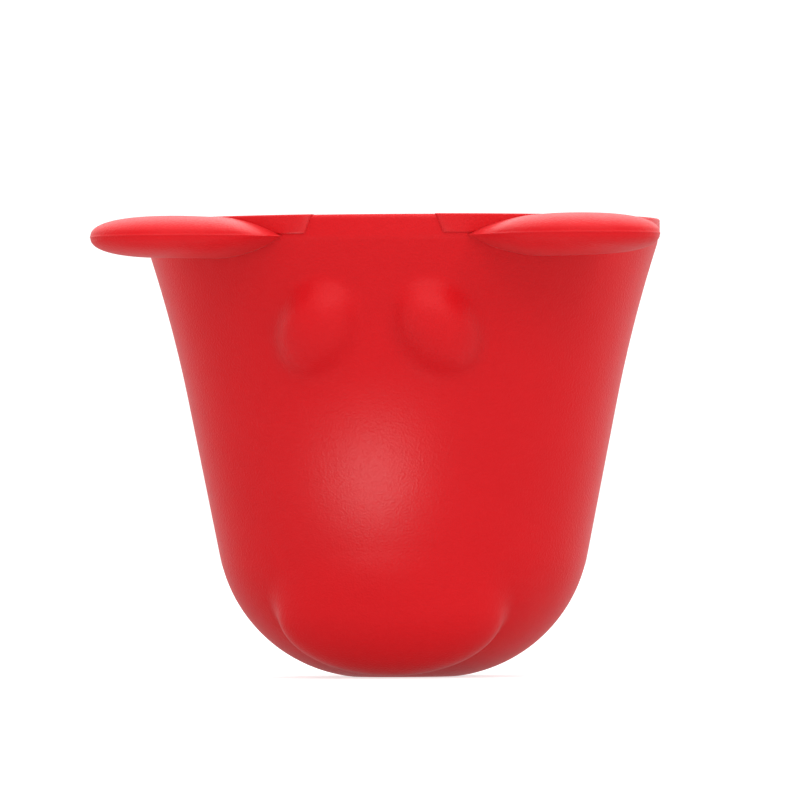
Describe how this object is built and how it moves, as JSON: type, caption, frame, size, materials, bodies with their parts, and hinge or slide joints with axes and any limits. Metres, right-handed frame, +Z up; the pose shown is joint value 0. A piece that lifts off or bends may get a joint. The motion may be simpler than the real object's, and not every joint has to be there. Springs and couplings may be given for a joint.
{
  "type": "paw washer cup",
  "caption": "Soft rubber cup for washing a pet's paw: an animal's face in relief, two ears that bend at the rim, and a brush sleeve inside that lifts out.",
  "frame": {"origin": "centre of the flat foot that the cup stands on", "axes": "+Z up along the cup's axis, -Y towards the face (eyes and muzzle), +X to the face's left as the animal would say it, which is the right of someone looking at the face"},
  "size_m": [0.103, 0.1067, 0.0839],
  "materials": {
    "shell_silicone": "satin moulded silicone",
    "collar_silicone": "satin moulded silicone",
    "ear_silicone": "satin moulded silicone",
    "sleeve_silicone": "satin moulded silicone",
    "bristle_silicone": "satin moulded silicone"
  },
  "bodies": {
    "cup": {"cup_shell": "shell_silicone", "rim_collar": "collar_silicone"},
    "left_ear": {"left_ear": "ear_silicone"},
    "right_ear": {"right_ear": "ear_silicone"},
    "brush": {"brush_sleeve": "sleeve_silicone", "floor_pad": "bristle_silicone", "bristle_ring_1": "bristle_silicone", "bristle_ring_2": "bristle_silicone", "bristle_ring_3": "bristle_silicone", "bristle_ring_4": "bristle_silicone", "bristle_ring_5": "bristle_silicone", "bristle_ring_6": "bristle_silicone", "bristle_ring_7": "bristle_silicone"}
  },
  "joints": [
    {"name": "brush_lift", "type": "slide", "parent": "cup", "child": "brush", "axis": [0, 0, 1], "range_m": [0, 0.09]},
    {"name": "left_ear_flex", "type": "hinge", "parent": "cup", "child": "left_ear", "pos_m": [-0.03347, -0.04045, 0.0801], "axis": [-0.7705, 0.6374, 0], "range_deg": [-45, 45], "stiffness_Nm_per_rad": 0.06},
    {"name": "right_ear_flex", "type": "hinge", "parent": "cup", "child": "right_ear", "pos_m": [0.03347, -0.04045, 0.0801], "axis": [-0.7705, -0.6374, 0], "range_deg": [-45, 45], "stiffness_Nm_per_rad": 0.06}
  ]
}
